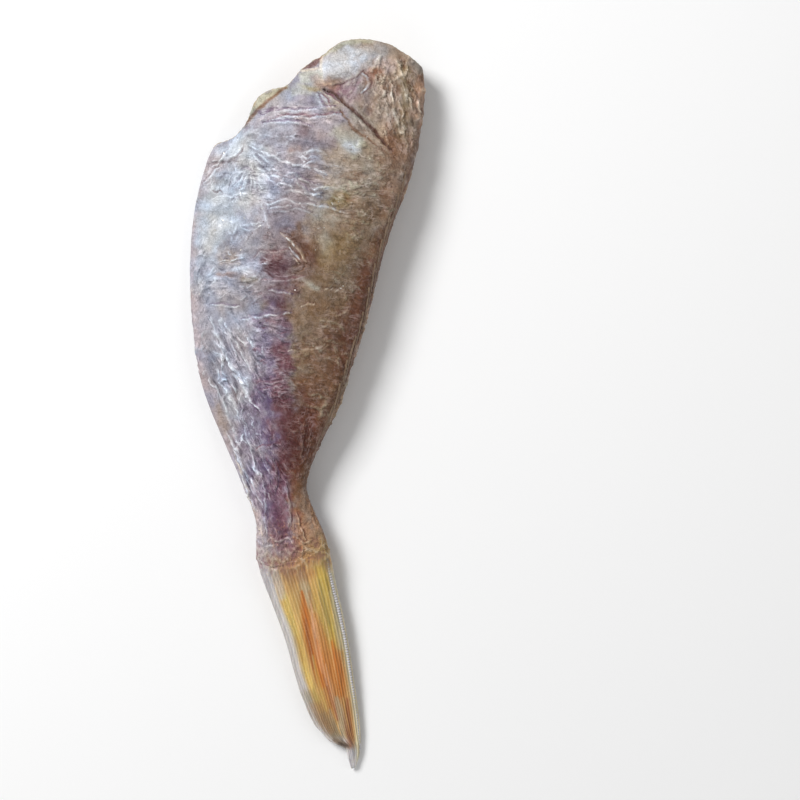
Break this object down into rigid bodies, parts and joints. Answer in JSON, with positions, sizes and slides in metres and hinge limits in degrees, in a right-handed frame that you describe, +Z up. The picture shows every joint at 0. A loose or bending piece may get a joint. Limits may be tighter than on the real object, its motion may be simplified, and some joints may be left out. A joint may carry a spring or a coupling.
{
  "type": "dried threadfin bream",
  "caption": "Headed and gutted dried fish lying flat on its side: crinkled silvery belly skin, smoother olive-brown back, narrow tail stalk and a folded yellow tail fin.",
  "frame": {"origin": "middle of the fish's box, on the surface that it rests on", "axes": "+Y towards the cut end, -Y towards the tail, +X towards the back, -X towards the belly edge, +Z up from the side that it lies on"},
  "size_m": [0.0568, 0.1732, 0.0137],
  "materials": {
    "dried_skin": "satin"
  },
  "bodies": {
    "root": {"dried_fish": "dried_skin"}
  },
  "joints": []
}
